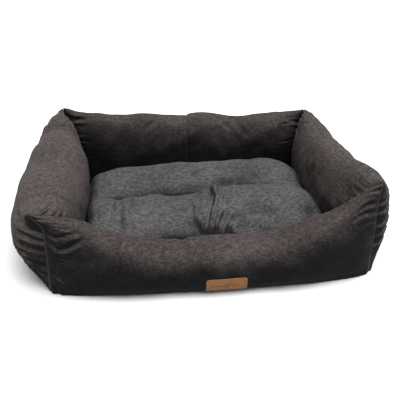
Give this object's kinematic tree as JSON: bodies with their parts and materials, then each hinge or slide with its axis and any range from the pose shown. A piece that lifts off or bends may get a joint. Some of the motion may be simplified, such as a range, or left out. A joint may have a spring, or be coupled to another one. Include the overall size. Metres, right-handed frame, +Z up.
{
  "type": "pet cushion bed",
  "caption": "Rectangular bolster pet bed: stuffed fabric walls pinched at the corners, a dipped entrance in front, and a loose crowned cushion with a sewn channel.",
  "frame": {"origin": "on the ground under the middle of the bed's box", "axes": "+X to the right along the long side, +Y to the back wall, +Z up; the dipped entrance faces -Y"},
  "size_m": [0.792, 0.6645, 0.207],
  "materials": {
    "wall_fabric": "matte",
    "fibre_filling": "matte",
    "lining": "matte",
    "thread": "matte",
    "underside": "matte",
    "label_leather": "satin",
    "label_thread": "matte",
    "cushion_fabric": "matte",
    "zip_tape": "matte",
    "zip_nylon": "satin",
    "zip_metal": "satin"
  },
  "bodies": {
    "bed": {"front_outer_panel": "wall_fabric", "front_inner_panel": "wall_fabric", "back_outer_panel": "wall_fabric", "back_inner_panel": "wall_fabric", "left_outer_panel": "wall_fabric", "left_inner_panel": "wall_fabric", "right_outer_panel": "wall_fabric", "right_inner_panel": "wall_fabric", "front_wall_filling": "fibre_filling", "back_wall_filling_left": "fibre_filling", "back_wall_filling_right": "fibre_filling", "left_wall_filling": "fibre_filling", "right_wall_filling": "fibre_filling", "back_wall_divider": "lining", "corner_seams": "thread", "crest_seams": "thread", "base_panel_bottom": "underside", "base_wadding": "fibre_filling", "base_panel_top": "wall_fabric", "label": "label_leather", "label_stitching": "label_thread"},
    "cushion": {"cushion_cover_top": "cushion_fabric", "cushion_cover_bottom": "cushion_fabric", "cushion_filling_front": "fibre_filling", "cushion_filling_back": "fibre_filling", "channel_stitching": "thread", "zip_tapes": "zip_tape", "zip_coil": "zip_nylon", "zip_stops": "zip_metal"},
    "zip_slider": {"zip_slider": "zip_metal"},
    "zip_pull": {"zip_pull": "zip_metal"}
  },
  "joints": [
    {"name": "cushion_lift", "type": "slide", "parent": "bed", "child": "cushion", "axis": [0, 0, 1], "range_m": [0, 0.35]},
    {"name": "zip_slide", "type": "slide", "parent": "cushion", "child": "zip_slider", "axis": [1, 0, 0], "range_m": [0, 0.382]},
    {"name": "zip_pull_swing", "type": "hinge", "parent": "zip_slider", "child": "zip_pull", "pos_m": [-0.177, 0.1927, 0.04], "axis": [0, 0, 1], "range_deg": [0, 165]}
  ]
}
